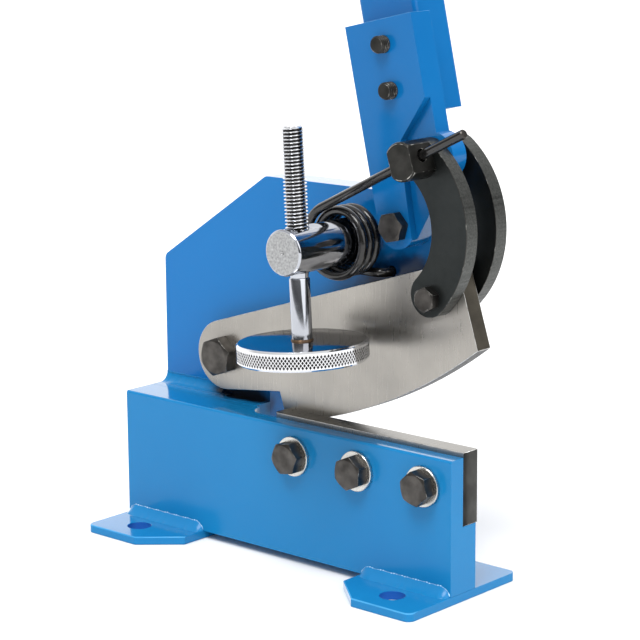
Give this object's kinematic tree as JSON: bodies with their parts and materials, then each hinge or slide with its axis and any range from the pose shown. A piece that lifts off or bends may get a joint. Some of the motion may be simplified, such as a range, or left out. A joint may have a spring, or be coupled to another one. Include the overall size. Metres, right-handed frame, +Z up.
{
  "type": "bench lever shear",
  "caption": "Hand-operated bench shear with a curved moving blade, linked lever, return spring and screwed hold-down, on a welded base with bolt-down feet.",
  "frame": {"origin": "midway between the two base holes, on the plane under the feet", "axes": "+X along the beam towards the blades' open end, +Y from the hold-down to the rear plate, +Z up"},
  "size_m": [0.2681, 0.1343, 0.6694],
  "materials": {
    "blue_paint": "semi-gloss enamel, sprayed over welded steel",
    "ground_steel": "surface-ground tool steel, uncoated",
    "black_steel": "black oxide, slightly glossy",
    "spring_steel": "black oiled spring wire",
    "bright_zinc": "bright zinc plate",
    "chrome_plate": "bright plated, turned faces",
    "braze_brass": "brazing metal, slightly tarnished",
    "black_plastic": "moulded, fine grain"
  },
  "bodies": {
    "frame": {"frame_beam": "blue_paint", "spacer_plate": "blue_paint", "upright_plate": "blue_paint", "left_foot": "blue_paint", "right_foot": "blue_paint", "foot_welds": "blue_paint", "corner_weld": "blue_paint", "fixed_blade": "ground_steel", "fixed_blade_bolts": "black_steel", "fixed_blade_washers": "bright_zinc", "blade_pivot_bolt": "black_steel", "blade_pivot_washer": "black_steel", "blade_pivot_nut": "black_steel", "lever_pivot_bolt": "black_steel", "lever_pivot_washer": "black_steel", "lever_pivot_nut": "black_steel", "hold_down_post": "chrome_plate", "post_washer": "black_steel", "post_nut": "black_steel"},
    "moving_blade": {"moving_blade": "ground_steel"},
    "lever": {"lever_plate": "blue_paint", "handle_tube": "blue_paint", "handle_end_plug": "black_plastic", "handle_bolts": "black_steel", "handle_bolt_washers": "black_steel"},
    "links": {"front_link": "black_steel", "rear_link": "black_steel", "link_bolt": "black_steel", "link_washer": "black_steel", "link_nut": "black_steel"},
    "link_pin": {"link_pin": "black_steel", "pin_washer": "black_steel", "pin_retaining_ring": "black_steel"},
    "hold_down": {"hold_down_screw": "chrome_plate", "hold_down_disc": "chrome_plate", "braze_ring": "braze_brass"},
    "return_spring": {"return_spring": "spring_steel"}
  },
  "joints": [
    {"name": "lever_swing", "type": "hinge", "parent": "frame", "child": "lever", "pos_m": [0.0755, 0.0458, 0.21], "axis": [0, 1, 0], "range_deg": [0, 77], "stiffness_Nm_per_rad": 3, "springref_deg": -28.65},
    {"name": "blade_swing", "type": "hinge", "parent": "frame", "child": "moving_blade", "pos_m": [-0.0685, 0.0483, 0.113], "axis": [0, 1, 0], "range_deg": [0, 17.6]},
    {"name": "link_swing", "type": "hinge", "parent": "lever", "child": "links", "pos_m": [0.09852, 0.0483, 0.25151], "axis": [0, 1, 0], "range_deg": [-68, 0]},
    {"name": "pin_turn", "type": "hinge", "parent": "lever", "child": "link_pin", "pos_m": [0.09852, 0.0483, 0.25151], "axis": [0, 1, 0], "range_deg": [-36, 0]},
    {"name": "spring_turn", "type": "hinge", "parent": "frame", "child": "return_spring", "pos_m": [0.0385, 0.036, 0.198], "axis": [0, 1, 0], "range_deg": [0, 42], "deforming": ["return_spring"]},
    {"name": "hold_down_slide", "type": "slide", "parent": "frame", "child": "hold_down", "axis": [0.0506, 0, -0.9987], "range_m": [0, 0.044]}
  ],
  "couplings": [
    {"joint": "blade_swing", "follows": "lever_swing", "ratio": 0.227},
    {"joint": "link_swing", "follows": "lever_swing", "ratio": -0.88},
    {"joint": "pin_turn", "follows": "lever_swing", "ratio": -0.46},
    {"joint": "spring_turn", "follows": "lever_swing", "ratio": 0.54}
  ]
}
